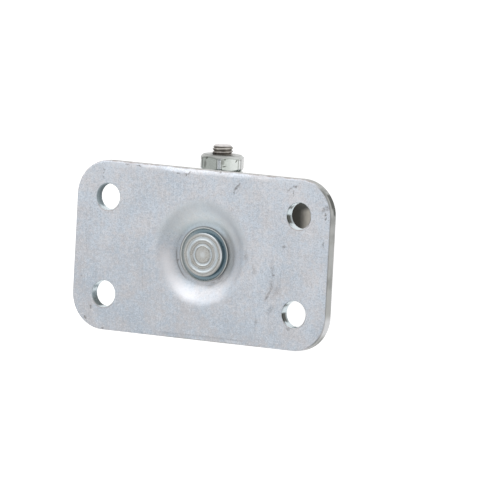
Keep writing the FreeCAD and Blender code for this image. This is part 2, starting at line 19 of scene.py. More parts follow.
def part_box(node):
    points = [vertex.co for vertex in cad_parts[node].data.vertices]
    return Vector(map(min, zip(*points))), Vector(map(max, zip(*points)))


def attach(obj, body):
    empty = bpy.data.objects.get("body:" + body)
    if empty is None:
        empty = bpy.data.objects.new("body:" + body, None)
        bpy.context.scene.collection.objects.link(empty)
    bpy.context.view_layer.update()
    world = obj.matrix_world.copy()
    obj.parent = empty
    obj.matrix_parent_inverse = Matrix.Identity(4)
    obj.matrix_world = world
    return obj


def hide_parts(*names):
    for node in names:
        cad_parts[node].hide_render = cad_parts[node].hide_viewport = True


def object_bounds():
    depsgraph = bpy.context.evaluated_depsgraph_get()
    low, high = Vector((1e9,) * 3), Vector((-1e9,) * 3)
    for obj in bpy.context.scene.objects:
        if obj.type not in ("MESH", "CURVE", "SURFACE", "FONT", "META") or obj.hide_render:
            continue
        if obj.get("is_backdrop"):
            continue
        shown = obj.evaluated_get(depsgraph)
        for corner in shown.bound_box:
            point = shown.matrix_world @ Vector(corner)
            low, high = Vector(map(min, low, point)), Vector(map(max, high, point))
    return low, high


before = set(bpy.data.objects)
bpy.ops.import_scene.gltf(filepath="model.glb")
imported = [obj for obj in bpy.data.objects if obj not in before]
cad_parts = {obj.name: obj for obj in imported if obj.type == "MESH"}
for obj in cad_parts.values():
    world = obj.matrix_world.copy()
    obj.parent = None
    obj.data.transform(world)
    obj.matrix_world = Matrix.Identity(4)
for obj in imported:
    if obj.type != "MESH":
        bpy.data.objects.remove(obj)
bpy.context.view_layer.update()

Colour = tuple[float, float, float]
Socket = bpy.types.NodeSocket

MM = 0.001
FULL_TURN = 2 * math.pi
SIXTH = math.pi / 3
SHARP_EDGE = math.radians(32)

# A mark reaches this far either way through a surface, in mm.
THROUGH = 100.0

# A direction square to the axle, towards the camera's right, along which painted light and shade are laid on
# the nut and the bolt.
PAINTED_LIGHT_WAY = (0.864, 0.0, -0.503)

log = logging.getLogger("caster")


class Wear(Enum):
    """What a mark on a surface is: how far it covers the finish, and how soft its border is."""

    STAIN = (0.52, 0.70)
    SCORE = (0.80, 0.65)
    LINE = (0.15, 0.80)
    RUB = (0.50, 0.90)
    SMEAR = (0.37, 1.0)
    SHEEN = (0.16, 1.0)

    @property
    def cover(self) -> float:
        """Return the share of the finish's colour that the mark hides."""
        return self.value[0]

    @property
    def softness(self) -> float:
        """Return the share of the mark's reach over which it fades out."""
        return self.value[1]


@dataclass(frozen=True)
class Mark:
    """One oval mark on a surface: its middle, half length and half width in mm, and its turn in degrees."""

    kind: Wear
    x: float
    y: float
    half_length: float
    half_width: float
    turn: float = 0.0


def marks_of(kind: Wear, *rows: tuple[float, ...]) -> tuple[Mark, ...]:
    """Return marks of one kind, one for each row of a middle, two half sizes and a turn."""
    return tuple(Mark(kind, *row) for row in rows)


@dataclass(frozen=True)
class Number:
    """A number that a material works out at each place, with the sums that it takes part in."""

    shader: "Shader"
    socket: Socket

    def __add__(self, other: "Feed") -> "Number":
        """Return the sum with another number."""
        return self.shader.math("ADD", self, other)

    def __mul__(self, other: "Feed") -> "Number":
        """Return the product with another number."""
        return self.shader.math("MULTIPLY", self, other)

    def __sub__(self, other: "Feed") -> "Number":
        """Return what is left after another number is taken away."""
        return self.shader.math("SUBTRACT", self, other)

    def __rsub__(self, other: float) -> "Number":
        """Return what is left of a plain number after this one is taken away."""
        return self.shader.math("SUBTRACT", other, self)

    def __abs__(self) -> "Number":
        """Return the number without its sign."""
        return self.shader.math("ABSOLUTE", self)

    __radd__ = __add__
    __rmul__ = __mul__

    def step(self, low: float, high: float) -> "Number":
        """Return 0 below low and 1 above high, with a smooth rise; swap the two for a fall."""
        feeds = {"Value": self, "From Min": low, "From Max": high}
        return self.shader.number("ShaderNodeMapRange", feeds, "Result", interpolation_type="SMOOTHSTEP")

    def ridge(self, middle: float, reach: float) -> "Number":
        """Return 1 at the middle, falling to 0 at a reach either way."""
        return abs(self - middle).step(reach, 0.0)

    def band(self, rise: tuple[float, float], fall: tuple[float, float]) -> "Number":
        """Return 1 between a rise and a fall, each given by where it is 0 and where it is 1."""
        return self.step(*rise) * self.step(*fall)

    def between(self, low: "Feed", high: "Feed") -> "Number":
        """Return what lies this share of the way from low to high."""
        feeds = {"Value": self, "To Min": low, "To Max": high}
        return self.shader.number("ShaderNodeMapRange", feeds, "Result")


Feed = Number | Socket | float | tuple[float, ...]
Feeds = dict[str | int, Feed]


class Shader:
    """A node material that is put together step by step, in millimetres of the part's frame."""

    def __init__(self, name: str) -> None:
        """Start a material with one principled surface.

        Args:
            name: The material's name.
        """
        self.material = bpy.data.materials.new(name)
        self.material.use_nodes = True
        self.tree = self.material.node_tree
        self.tree.nodes.clear()
        self.surface = self.add("ShaderNodeBsdfPrincipled")
        output = self.add("ShaderNodeOutputMaterial")
        self.tree.links.new(self.surface.outputs["BSDF"], output.inputs["Surface"])

    @cached_property
    def place(self) -> Socket:
        """Return the place on the part in mm, in the part's own frame."""
        return self.vector("SCALE", self.add("ShaderNodeTexCoord").outputs["Object"], scale=1 / MM)

    def surfaced(self, looks: Feeds) -> bpy.types.Material:
        """Feed the principled surface.

        Args:
            looks: What each of its inputs gets, by name.

        Returns:
            The finished material.
        """
        for name, value in looks.items():
            self.feed(self.surface.inputs[name], value)
        return self.material

    def add(self, kind: str, feeds: Feeds | None = None, **settings: str | bool) -> bpy.types.Node:
        """Add a node.

        Args:
            kind: Blender's name for the node's type.
            feeds: What each input gets, by name or number.
            settings: Properties of the node itself.

        Returns:
            The new node.
        """
        node = self.tree.nodes.new(kind)
        for name, value in settings.items():
            setattr(node, name, value)
        for key, value in (feeds or {}).items():
            self.feed(node.inputs[key], value)
        return node

    def feed(self, socket: Socket, value: Feed) -> None:
        """Give an input a value, or link what another node works out to it.

        Args:
            socket: The input.
            value: A plain value, a number of the material or an output.
        """
        if isinstance(value, Number):
            value = value.socket
        if isinstance(value, Socket):
            self.tree.links.new(value, socket)
        elif socket.type == "RGBA" and len(value) == 3:
            socket.default_value = (*value, 1.0)
        else:
            socket.default_value = value

    def number(self, kind: str, feeds: Feeds, output: str | int, **settings: str | bool) -> Number:
        """Return one output of a new node as a number."""
        return Number(self, self.add(kind, feeds, **settings).outputs[output])

    def math(self, operation: str, *values: Feed) -> Number:
        """Return the result of one of Blender's sums on numbers."""
        return self.number("ShaderNodeMath", dict(enumerate(values)), 0, operation=operation)

    def most(self, *numbers: Feed) -> Number:
        """Return the greatest of several numbers."""
        return reduce(partial(self.math, "MAXIMUM"), numbers)

    def vector(self, operation: str, first: Feed, second: Feed = (0, 0, 0), scale: float = 1.0) -> Socket:
        """Return the result of one of Blender's sums on vectors."""
        feeds = {0: first, 1: second, 3: scale}
        return self.add("ShaderNodeVectorMath", feeds, operation=operation).outputs["Vector"]

    def length(self, vector: Socket) -> Number:
        """Return a vector's length."""
        return self.number("ShaderNodeVectorMath", {0: vector}, "Value", operation="LENGTH")

    def dot(self, first: Socket, second: Feed) -> Number:
        """Return the dot product of two vectors."""
        return self.number("ShaderNodeVectorMath", {0: first, 1: second}, "Value", operation="DOT_PRODUCT")

    def along(self, axis: str, place: Socket | None = None) -> Number:
        """Return how far a place, on the part itself unless given, lies along one axis in mm."""
        return self.number("ShaderNodeSeparateXYZ", {0: place or self.place}, axis)

    def noise(self, size: float, detail: float = 3.0, place: Socket | None = None) -> Number:
        """Return a cloudy pattern from 0 to 1 around 0.5, with its largest clouds of a size in mm."""
        feeds = {"Vector": place or self.place, "Scale": 1 / size, "Detail": detail, "Roughness": 0.55}
        return self.number("ShaderNodeTexNoise", feeds, "Fac")

    def scattered(
        self, amount: float, size: float, detail: float = 3.0, place: Socket | None = None
    ) -> Number:
        """Return a cloudy pattern that swings by an amount either way about zero."""
        return self.math("MULTIPLY_ADD", self.noise(size, detail, place), 2 * amount, -amount)

    def blend(self, share: Feed, under: Feed, over: Feed) -> Socket:
        """Return one colour laid over another.

        Args:
            share: How much of the upper colour shows.
            under: The lower colour.
            over: The upper colour.

        Returns:
            The mixed colour.
        """
        node = self.add("ShaderNodeMix", data_type="RGBA", clamp_factor=True)
        for number, value in ((0, share), (6, under), (7, over)):
            self.feed(node.inputs[number], value)
        return node.outputs[2]

    def around_z(self) -> Number:
        """Return the distance from the swivel axis in mm."""
        return self.length(self.vector("MULTIPLY", self.place, (1, 1, 0)))

    def in_quarter(self) -> Socket:
        """Return the place mirrored into the quarter of +X and +Y, at height 0."""
        return self.vector("ABSOLUTE", self.vector("MULTIPLY", self.place, (1, 1, 0)))

    def from_axle(self) -> Socket:
        """Return the place as it lies from the axle, square to it, in mm."""
        away = self.vector("SUBTRACT", self.place, tuple(axle_middle() / MM))
        return self.vector("MULTIPLY", away, (1, 0, 1))

    def around_axle(self) -> Number:
        """Return the distance from the axle in mm."""
        return self.length(self.from_axle())

    def turn_about_axle(self) -> Number:
        """Return the angle about the axle, from +X towards +Z."""
        away = self.from_axle()
        return self.math("ARCTAN2", self.along("Z", away), self.along("X", away))

    def stretched(self, along: float, across: float, turn: float = 0.0) -> Socket:
        """Return places in a grid that is drawn out along a direction in the plate's plane.

        Args:
            along: The length that counts as 1 mm along the direction.
            across: The length that counts as 1 mm across it.
            turn: The direction, in degrees from +X.

        Returns:
            The changed place.
        """
        feeds = {
            "Vector": self.place,
            "Rotation": (0, 0, math.radians(turn)),
            "Scale": (along, across, across),
        }
        return self.add("ShaderNodeMapping", feeds, vector_type="TEXTURE").outputs["Vector"]

    def oval(self, place: Socket, mark: Mark) -> Number:
        """Return how far one mark covers the surface: an oval that fades out towards its border.

        Args:
            place: Where to read the mark.
            mark: The mark.

        Returns:
            The covered share.
        """
        feeds = {
            "Vector": place,
            "Location": (mark.x, mark.y, 0.0),
            "Rotation": (0, 0, math.radians(mark.turn)),
            "Scale": (mark.half_length, mark.half_width, THROUGH),
        }
        local = self.add("ShaderNodeMapping", feeds, vector_type="TEXTURE").outputs["Vector"]
        return self.length(local).step(1.0, 1.0 - mark.kind.softness) * mark.kind.cover

    def hairlines(self, along: float, across: float, turn: float, width: float) -> Number:
        """Return fine scratches: the level line of a drawn-out noise, broken up by a broad one.

        Args:
            along: How far the noise is drawn out along the scratches.
            across: How far it is drawn out across them.
            turn: The scratches' direction, in degrees from +X.
            width: How far from the level line a scratch reaches.

        Returns:
            1 in a scratch and 0 elsewhere.
        """
        field = self.noise(1.0, 2.0, self.stretched(along, across, turn))
        broken = self.noise(across * 6, 2.0).step(0.52, 0.66)
        return field.ridge(0.5, width) * broken


@dataclass
class Coat:
    """What a finish has worked out for its surface so far."""

    shader: Shader
    colour: Socket
    roughness: Number
    height: Number

    def cover(self, colour: Colour, share: Number, roughness: float | None = None) -> None:
        """Lay another colour over the coat, and another roughness where one is given.

        Args:
            colour: The covering colour.
            share: How much of the coat is covered.
            roughness: The covering roughness.
        """
        self.colour = self.shader.blend(share, self.colour, colour)
        if roughness is not None:
            self.roughness = share.between(self.roughness, roughness)


@dataclass(frozen=True, kw_only=True)
class Finish(ABC):
    """What every finish has: a name, the depth of its relief in mm, and how metallic and glossy it is."""

    name: str
    relief: float = 0.012
    metallic: float = 0.0
    specular: float = 0.5

    @abstractmethod
    def coat(self, shader: Shader) -> Coat:
        """Work out the finish's colour, roughness and relief.

        Args:
            shader: The material to work in.

        Returns:
            The finished coat.
        """

    def material(self) -> bpy.types.Material:
        """Make the finish's material.

        Returns:
            The material, with its coat on the principled surface.
        """
        shader = Shader(self.name)
        coat = self.coat(shader)
        relief = {"Height": coat.height, "Distance": self.relief * MM, "Strength": 1.0}
        return shader.surfaced({
            "Base Color": coat.colour,
            "Roughness": coat.roughness,
            "Normal": shader.add("ShaderNodeBump", relief).outputs["Normal"],
            "Metallic": self.metallic,
            "Specular IOR Level": self.specular,
        })


@dataclass(frozen=True, kw_only=True)
class ZincSheet(Finish):
    """Zinc plated sheet: a fine grain, warm and cool patches, rolling streaks and hairline scratches."""

    metallic: float = 0.92
    light: Colour = (0.80, 0.83, 0.885)
    shade: Colour = (0.45, 0.485, 0.535)
    warm: Colour = (0.70, 0.665, 0.66)
    cool: Colour = (0.54, 0.63, 0.725)
    dark: Colour = (0.16, 0.16, 0.16)
    level: float = 0.46
    smooth: float = 0.34
    rough: float = 0.52

    def grain(self, shader: Shader) -> Number:
        """Work out how light the zinc is, from its grain, patches and streaks.

        Args:
            shader: The material to work in.

        Returns:
            The lightness, from 0 to 1 around the finish's level.
        """
        layers = ((0.85, 0.3, 1.0), (1.05, 0.55, 2.0), (0.65, 1.3, 3.0), (0.40, 4.5, 3.0), (0.35, 16.0, 2.0))
        grain = [shader.scattered(amount, size, detail) for amount, size, detail in layers]
        streaks = shader.scattered(0.30, 1.0, 3.0, shader.stretched(0.7, 14.0, 3.0))
        return sum(grain, self.level) + streaks

    def scratches(self, shader: Shader) -> Number:
        """Draw the hairline scratches, in three directions.

        Args:
            shader: The material to work in.

        Returns:
            1 in a scratch and 0 elsewhere.
        """
        return (
            shader.hairlines(26.0, 1.6, 58.0, 0.006)
            + shader.hairlines(30.0, 2.2, -24.0, 0.005)
            + shader.hairlines(22.0, 1.8, 92.0, 0.005)
        )

    def specks(self, shader: Shader) -> Number:
        """Scatter dark specks: some all over, and finer ones that keep together.

        Args:
            shader: The material to work in.

        Returns:
            1 in a speck and 0 elsewhere.
        """
        coarse = shader.noise(0.75, 1.0).step(0.70, 0.80)
        fine = shader.noise(0.42, 0.0).step(0.66, 0.74)
        together = shader.noise(9.0, 2.0).step(0.50, 0.62)
        return shader.most(coarse, fine * together)

    def coat(self, shader: Shader) -> Coat:
        """Work out the zinc: shade to light by its grain, with tinted patches, specks and scratches.

        Args:
            shader: The material to work in.

        Returns:
            The finished coat.
        """
        grain = self.grain(shader)
        scratches = self.scratches(shader)
        patches = 0.5 + shader.scattered(1.8, 9.0, 4.0) + shader.scattered(0.9, 1.6, 2.0)
        tint = shader.blend(patches, self.warm, self.cool)
        zinc = shader.blend(0.40, shader.blend(grain, self.shade, self.light), tint)
        roughness = shader.noise(3.0, 4.0).between(self.smooth, self.rough)
        height = grain - scratches * 0.8
        coat = Coat(shader, zinc, roughness, height)
        coat.cover(self.dark, scratches * 0.22)
        coat.cover(self.dark, self.specks(shader) * 0.28)
        return coat


@dataclass(frozen=True, kw_only=True)
class PlateZinc(ZincSheet):
    """The plate's zinc, with sheared edges, punched holes, a greasy dish floor and its own marks, and
    painted light and shade on its dish, edges and hole walls.
    """

    half_length: float
    half_width: float
    corner: float = 12.3
    hole_place: tuple[float, float, float] = (37.5, 16.7, 0.0)
    hole_radius: float = 4.5
    floor_radius: float = 10.9
    pin_radius: float = 9.3
    mouth_radius: float = 17.0
    grime: Colour = (0.20, 0.24, 0.26)
    # Painted shade on the dish floor, and painted dark reflections in the lower left-hand hole.
    olive: Colour = (0.17, 0.175, 0.15)
    # A greenish painted reflection for the upper slope.
    green: Colour = (0.77, 0.84, 0.83)
    teal: Colour = (0.53, 0.67, 0.74)
    # Dirt for marks and the pin's outline, and painted shade in the dish floor's crease.
    dirt: Colour = (0.13, 0.115, 0.105)
    # Steel rubbed clean for rub marks, and the colour of the painted highlights.
    bare_and_highlight: Colour = (0.92, 0.92, 0.955)
    tarnish: Colour = (0.36, 0.31, 0.29)
    # Sheared steel, dark enough to stand in as painted shade on the outer wall.
    sheared: Colour = (0.365, 0.37, 0.36)
    # Fractured steel; on the right-hand hole walls also a painted dark reflection.
    fractured: Colour = (0.06, 0.063, 0.055)
    # Burnished steel on the hole walls, kept dark as painted shade.
    burnished: Colour = (0.55, 0.62, 0.65)
    # Torn steel on the upper left-hand hole wall, also a painted dark reflection.
    torn: Colour = (0.15, 0.19, 0.20)
    marks: tuple[Mark, ...] = (
        *marks_of(
            Wear.STAIN,
            (11.9, 22.3, 0.8, 0.54, 80.0), (33.3, 25.2, 2.2, 0.5, 44.0),
            (35.0, 24.2, 1.7, 0.46, 88.0), (48.4, 20.4, 1.4, 1.1, 120.0),
            (46.9, 19.6, 1.4, 0.9, 60.0), (32.4, 5.7, 1.1, 0.8, 30.0),
            (28.5, -3.4, 1.3, 0.5, 95.0), (28.0, -9.3, 1.5, 0.6, 75.0),
            (6.4, -7.4, 2.6, 0.55, 41.0), (3.7, -9.2, 1.6, 0.4, 22.0),
            (-10.3, -2.8, 0.8, 0.5, 80.0), (27.0, -11.4, 3.2, 0.6, 61.0),
            (35.5, -21.8, 1.4, 0.6, -30.0), (-39.9, 26.0, 1.0, 0.4, 118.0),
            (-39.9, 24.6, 0.9, 0.4, 48.0), (-39.9, 23.2, 1.1, 0.4, 126.0),
            (-30.5, 28.4, 1.2, 0.39, 0.0), (-46.7, -11.4, 0.6, 0.4, 40.0),
            (47.5, 7.8, 1.5, 0.46, 92.0),
        ),
        *marks_of(
            Wear.SCORE,
            (13.0, 24.4, 2.5, 0.53, 50.0), (35.6, 26.5, 1.3, 0.55, 8.0),
            (47.8, 18.0, 0.8, 0.55, 70.0), (48.0, 16.6, 0.6, 0.46, 70.0),
            (28.8, -4.2, 0.7, 0.5, 10.0), (-42.4, -21.7, 0.9, 0.39, 110.0),
            (-44.4, -25.5, 0.9, 0.54, -45.0), (-26.0, 28.4, 1.5, 0.34, 0.0),
            (-10.4, 27.2, 0.8, 0.4, 0.0), (-6.0, 27.6, 1.4, 0.4, 56.0),
            (-7.2, 26.9, 0.7, 0.37, -48.0), (6.0, 28.7, 0.9, 0.46, 0.0),
            (-37.4, -28.6, 0.9, 0.39, 0.0),
        ),
        *marks_of(
            Wear.SMEAR,
            (28.3, -2.1, 3.6, 1.3, 94.0), (28.4, -7.6, 4.2, 1.6, 84.0),
            (30.6, -9.4, 3.6, 1.9, 66.0), (28.4, -16.0, 2.6, 1.4, 50.0),
            (23.0, -20.8, 1.8, 1.0, 70.0), (21.4, -3.6, 2.2, 1.2, 118.0),
            (17.8, 1.0, 3.4, 1.4, 90.0),
        ),
        *marks_of(
            Wear.LINE,
            (-22.0, 20.8, 3.0, 0.22, 45.0), (-45.6, 3.2, 8.0, 0.25, 93.5),
            (-22.4, -8.0, 14.0, 0.22, 93.5), (-14.3, -25.2, 2.4, 0.22, 94.0),
            (4.0, -27.6, 34.0, 0.46, 0.0),
        ),
        *marks_of(
            Wear.RUB,
            (-41.6, -22.9, 0.8, 0.54, 120.0), (41.8, 11.0, 2.7, 0.34, -15.0),
        ),
        *marks_of(
            Wear.SHEEN,
            (-41.0, 14.0, 17.0, 15.0),
        ),
    )

    def grain(self, shader: Shader) -> Number:
        """Work out the grain, calmer in the pressed dish, with painted shade that darkens it towards one
        corner.

        Args:
            shader: The material to work in.

        Returns:
            The lightness, from 0 to 1 around the finish's level.
        """
        pressed = shader.around_z().step(self.mouth_radius + 3.0, self.mouth_radius - 2.0)
        swing = super().grain(shader) - self.level
        return (
            self.level
            + swing * pressed.between(1.0, 0.55)
            # Painted shade: darker towards -X and -Y.
            + shader.along("Y") * 0.0055
            + shader.along("X") * 0.0022
            + self.marked(shader, shader.place, Wear.SHEEN)
        )

    def ragged(self, shader: Shader) -> Socket:
        """Shake the place a little, so that marks get ragged borders.

        Args:
            shader: The material to work in.

        Returns:
            The shaken place.
        """
        shake = shader.add("ShaderNodeTexNoise", {"Vector": shader.place, "Scale": 1.6, "Detail": 3.0})
        shake = shader.vector("SUBTRACT", shake.outputs["Color"], (0.5, 0.5, 0.5))
        return shader.vector("ADD", shader.place, shader.vector("SCALE", shake, scale=1.1))

    def marked(self, shader: Shader, place: Socket, *kinds: Wear) -> Number:
        """Return how far the plate's marks of some kinds cover its zinc, read at a place."""
        return shader.most(*[shader.oval(place, mark) for mark in self.marks if mark.kind in kinds])

    def wear(self, coat: Coat) -> None:
        """Lay the plate's own marks over its zinc, the dark ones broken up by a speckle.

        Args:
            coat: The coat to mark.
        """
        shader = coat.shader
        ragged = self.ragged(shader)
        dark = self.marked(shader, ragged, Wear.STAIN, Wear.SCORE, Wear.SMEAR)
        speckle = shader.noise(0.5, 2.0).step(0.38, 0.60).between(0.35, 1.0)
        coat.cover(self.dirt, dark * speckle)
        coat.cover(self.dirt, self.marked(shader, shader.place, Wear.LINE))
        coat.cover(self.bare_and_highlight, self.marked(shader, ragged, Wear.RUB))

    def beyond_corner(self, shader: Shader) -> Socket:
        """Work out how far a place lies beyond the middle of the nearest rounded corner.

        Args:
            shader: The material to work in.

        Returns:
            The distances along X and Y in mm, none below 0.
        """
        corner_middle = (self.half_length - self.corner, self.half_width - self.corner, 0.0)
        beyond = shader.vector("SUBTRACT", shader.in_quarter(), corner_middle)
        return shader.vector("MAXIMUM", beyond, (0, 0, 0))

    def torn_corners(self, shader: Shader) -> Number:
        """Work out where the outer wall is torn at its two right-hand corners.

        Round the upper corner the tear runs along the face's border, then over most of the wall, then
        along the far border. At the lower corner it is small.

        Args:
            shader: The material to work in.

        Returns:
            The torn share.
        """
        x, y, z = (shader.along(axis) for axis in "XYZ")
        far = z.step(-1.3, -2.1)
        lower = shader.vector("SUBTRACT", shader.place, (self.half_length - 3.4, 3.2 - self.half_width, 0.0))
        tears = shader.most(
            y.band((23.6, 25.0), (27.0, 25.6)) * z.step(-1.7, -0.7) * 0.42,
            y.band((19.2, 20.6), (25.2, 24.2)) * z.step(-0.5, -1.3),
            y.band((16.8, 18.4), (22.4, 21.4)) * far,
            shader.length(lower).step(4.5, 1.5) * far * 0.6,
        )
        return tears * x.step(40.0, 43.0)

    def shear_edges(self, coat: Coat) -> None:
        """Turn the outer wall into sheared steel darkened by painted shade, tarnish the rolled border
        elsewhere, and paint highlights along the top border and on the walls below the middle.

        Args:
            coat: The coat of the plate.
        """
        shader = coat.shader
        x, y, z = (shader.along(axis) for axis in "XYZ")
        beyond = self.beyond_corner(shader)
        border = self.corner - shader.length(beyond)
        facing = shader.along("X", shader.vector("NORMALIZE", beyond))
        end = facing.step(0.35, 0.7) * x.step(0.0, 5.0)
        top = y.step(self.half_width - 2.4, self.half_width - 1.4)
        # Painted highlight along the top border.
        painted_top_highlight = top * abs(x + 2.0).step(44.0, 32.0)
        coat.cover(self.bare_and_highlight, painted_top_highlight * 0.18)
        broken = shader.noise(2.2, 3.0).step(0.40, 0.62).between(0.35, 1.0)
        upwards = y.step(8.0, 20.0).between(0.45, 0.95)
        rolled = border.step(0.50, 0.15) * (1.0 - end) * broken * upwards
        coat.cover(self.tarnish, rolled)
        # The wall, and the rolled border at the right-hand end, take the sheared colour: partly sheared
        # steel, partly painted shade.
        wall = border.step(0.66, 0.2) * shader.most(end, z.step(-0.35, -0.75))
        coat.cover(self.sheared, wall, 0.42)
        # Painted highlight on the walls below the middle.
        rubbed = wall * y.band((-24.5, -22.0), (-15.5, -18.5))
        coat.cover(self.bare_and_highlight, rubbed * 0.38)
        streaks = shader.noise(1.0, 3.0, shader.stretched(1.2, 7.0)).step(0.5, 0.68)
        torn = shader.most(self.torn_corners(shader), streaks * 0.32)
        coat.cover(self.fractured, wall * torn * 0.88, 0.5)

    def punch_holes(self, coat: Coat) -> None:
        """Burnish the holes' walls, paint dark reflections on them where the punch tore the steel, and
        tarnish their rims.

        The left-hand holes are dull and painted with dark reflections, the upper one down to its bottom and
        the lower one below its middle. The right-hand holes have a torn spot below their middle and a small
        one near their top, darkened partly by painted reflection.

        Args:
            coat: The coat of the plate.
        """
        shader = coat.shader
        x, y, z = (shader.along(axis) for axis in "XYZ")
        away = shader.vector("SUBTRACT", shader.in_quarter(), self.hole_place)
        radius = shader.length(away)
        rise = shader.along("Y", away) * shader.math("SIGN", y) + shader.scattered(0.8, 1.5, 2.0)
        wall = radius.step(self.hole_radius + 0.32, self.hole_radius + 0.14)
        right = wall * x.step(-1.0, 1.0)
        left = wall * x.step(1.0, -1.0)
        upper = y.step(-1.0, 1.0)
        # The walls' colour is partly painted shade, so that they show little of the bright floor.
        coat.cover(self.burnished, wall, 0.26)
        high = left * upper * rise.step(-3.8, -2.8)
        patches = shader.most(rise.step(0.9, -0.5), rise.ridge(2.2, 1.1))
        low = left * (1.0 - upper) * patches * rise.step(-4.5, -3.9)
        coat.cover(self.burnished, shader.most(high, low), 0.85)
        # Painted dark reflections on the left-hand walls: teal in the upper hole and olive in the lower one.
        coat.cover(self.torn, high * z.step(-0.4, -2.2).between(0.15, 0.42))
        coat.cover(self.olive, low * rise.step(0.2, -3.4) * 0.55)
        depth = z.step(-1.6, -3.0).between(1.0, 0.4)
        spot = rise.band((-3.5, -2.5), (0.5, -0.5)) * depth
        small = rise.ridge(2.6, 0.9) * z.step(-3.0, -1.6) * 0.85
        # Dark spots on the right-hand walls: torn steel and a painted dark reflection.
        coat.cover(self.fractured, right * shader.most(spot, small), 0.4)
        rim = radius.ridge(self.hole_radius + 0.38, 0.3)
        coat.cover(self.tarnish, rim * rise.step(-1.8, -3.6) * 0.6)

    def shade_slope(self, coat: Coat) -> None:
        """Paint light and shade on the dish's slope: a greenish painted reflection above, painted highlights
        at two sides, and painted shade round its mouth.

        Args:
            coat: The coat of the plate.
        """
        shader = coat.shader
        radius = shader.around_z()
        x, y = (shader.along(axis) for axis in "XY")
        floor, mouth = self.floor_radius, self.mouth_radius
        slope = radius.band((floor - 0.5, floor + 1.0), (mouth + 3.0, mouth))
        coat.cover(self.green, slope * y.step(1.0, 9.0) * 0.35)
        # A painted highlight on the lower left of the slope.
        leftwards = x * 1.1 + y * 0.6
        painted_crescent_highlight = radius.ridge(mouth - 2.4, 3.8) * leftwards.step(-6.0, -17.0) * y.step(3.5, -3.5)
        coat.cover(self.bare_and_highlight, painted_crescent_highlight * 0.7)
        # Painted shade round the mouth, above and below.
        above = radius.ridge(mouth - 0.3, 4.0) * y.step(1.0, 7.0) * x.step(-2.0, 6.0).between(0.32, 0.58)
        below = radius.ridge(mouth - 0.4, 2.4) * y.step(-8.0, -12.0) * x.step(-6.0, 1.0)
        dull = shader.most(above, below * 0.3)
        coat.cover(self.shade, dull)
        # A painted highlight on the right-hand slope.
        beside = radius.band((floor - 0.2, floor + 1.4), (mouth - 0.4, mouth - 3.0))
        coat.cover(self.bare_and_highlight, beside * x.step(6.0, 12.0) * 0.28, 0.62)

    def soil_and_shade_floor(self, coat: Coat) -> None:
        """Grease the dish's floor, outline the pin on it, and paint shade on its right side and in the
        crease at its border, with a painted highlight at that border on the right.

        Args:
            coat: The coat of the plate.
        """
        shader = coat.shader
        radius = shader.around_z()
        x, y = (shader.along(axis) for axis in "XY")
        edge = self.floor_radius
        floor = radius.step(edge + 2.2, edge - 0.4)
        coat.cover(self.grime, floor * x.step(0.0, -9.0).between(0.16, 0.36))
        # Painted shade on the floor's right side, next to the pin's collar.
        right = x.step(4.0, 9.5) * y.step(-9.5, -4.0)
        coat.cover(self.olive, floor * right * 0.48)
        coat.cover(self.teal, floor * y.step(5.0, 9.0) * 0.45)
        shifted = shader.vector("MULTIPLY", shader.vector("ADD", shader.place, (0.3, 0.1, 0.0)), (1, 1, 0))
        outline = shader.length(shifted).ridge(self.pin_radius + 0.3, 0.34) * (y - x).step(-3.0, 5.0)
        coat.cover(self.dirt, outline * 0.62)
        # Painted shade in the crease at the floor's border, on the lower left and the lower right.
        left_crease = radius.ridge(edge + 0.3, 0.32) * x.step(-6.0, -8.5) * y.step(2.0, -1.0)
        right_crease = radius.ridge(edge + 0.1, 1.2) * x.step(0.0, 3.0) * y.step(-6.0, -8.5)
        crease = shader.most(left_crease * 0.6, right_crease * 0.36)
        coat.cover(self.dirt, crease)
        # Painted highlight at the floor's border on the right.
        painted_bend_highlight = radius.ridge(edge + 0.4, 0.6) * x.step(1.0, 6.0)
        coat.cover(self.bare_and_highlight, painted_bend_highlight * 0.3)

    def coat(self, shader: Shader) -> Coat:
        """Work out the zinc with the plate's dish, marks, edges and holes.

        Args:
            shader: The material to work in.

        Returns:
            The finished coat.
        """
        coat = super().coat(shader)
        self.soil_and_shade_floor(coat)
        self.shade_slope(coat)
        self.shear_edges(coat)
        self.punch_holes(coat)
        self.wear(coat)
        return coat


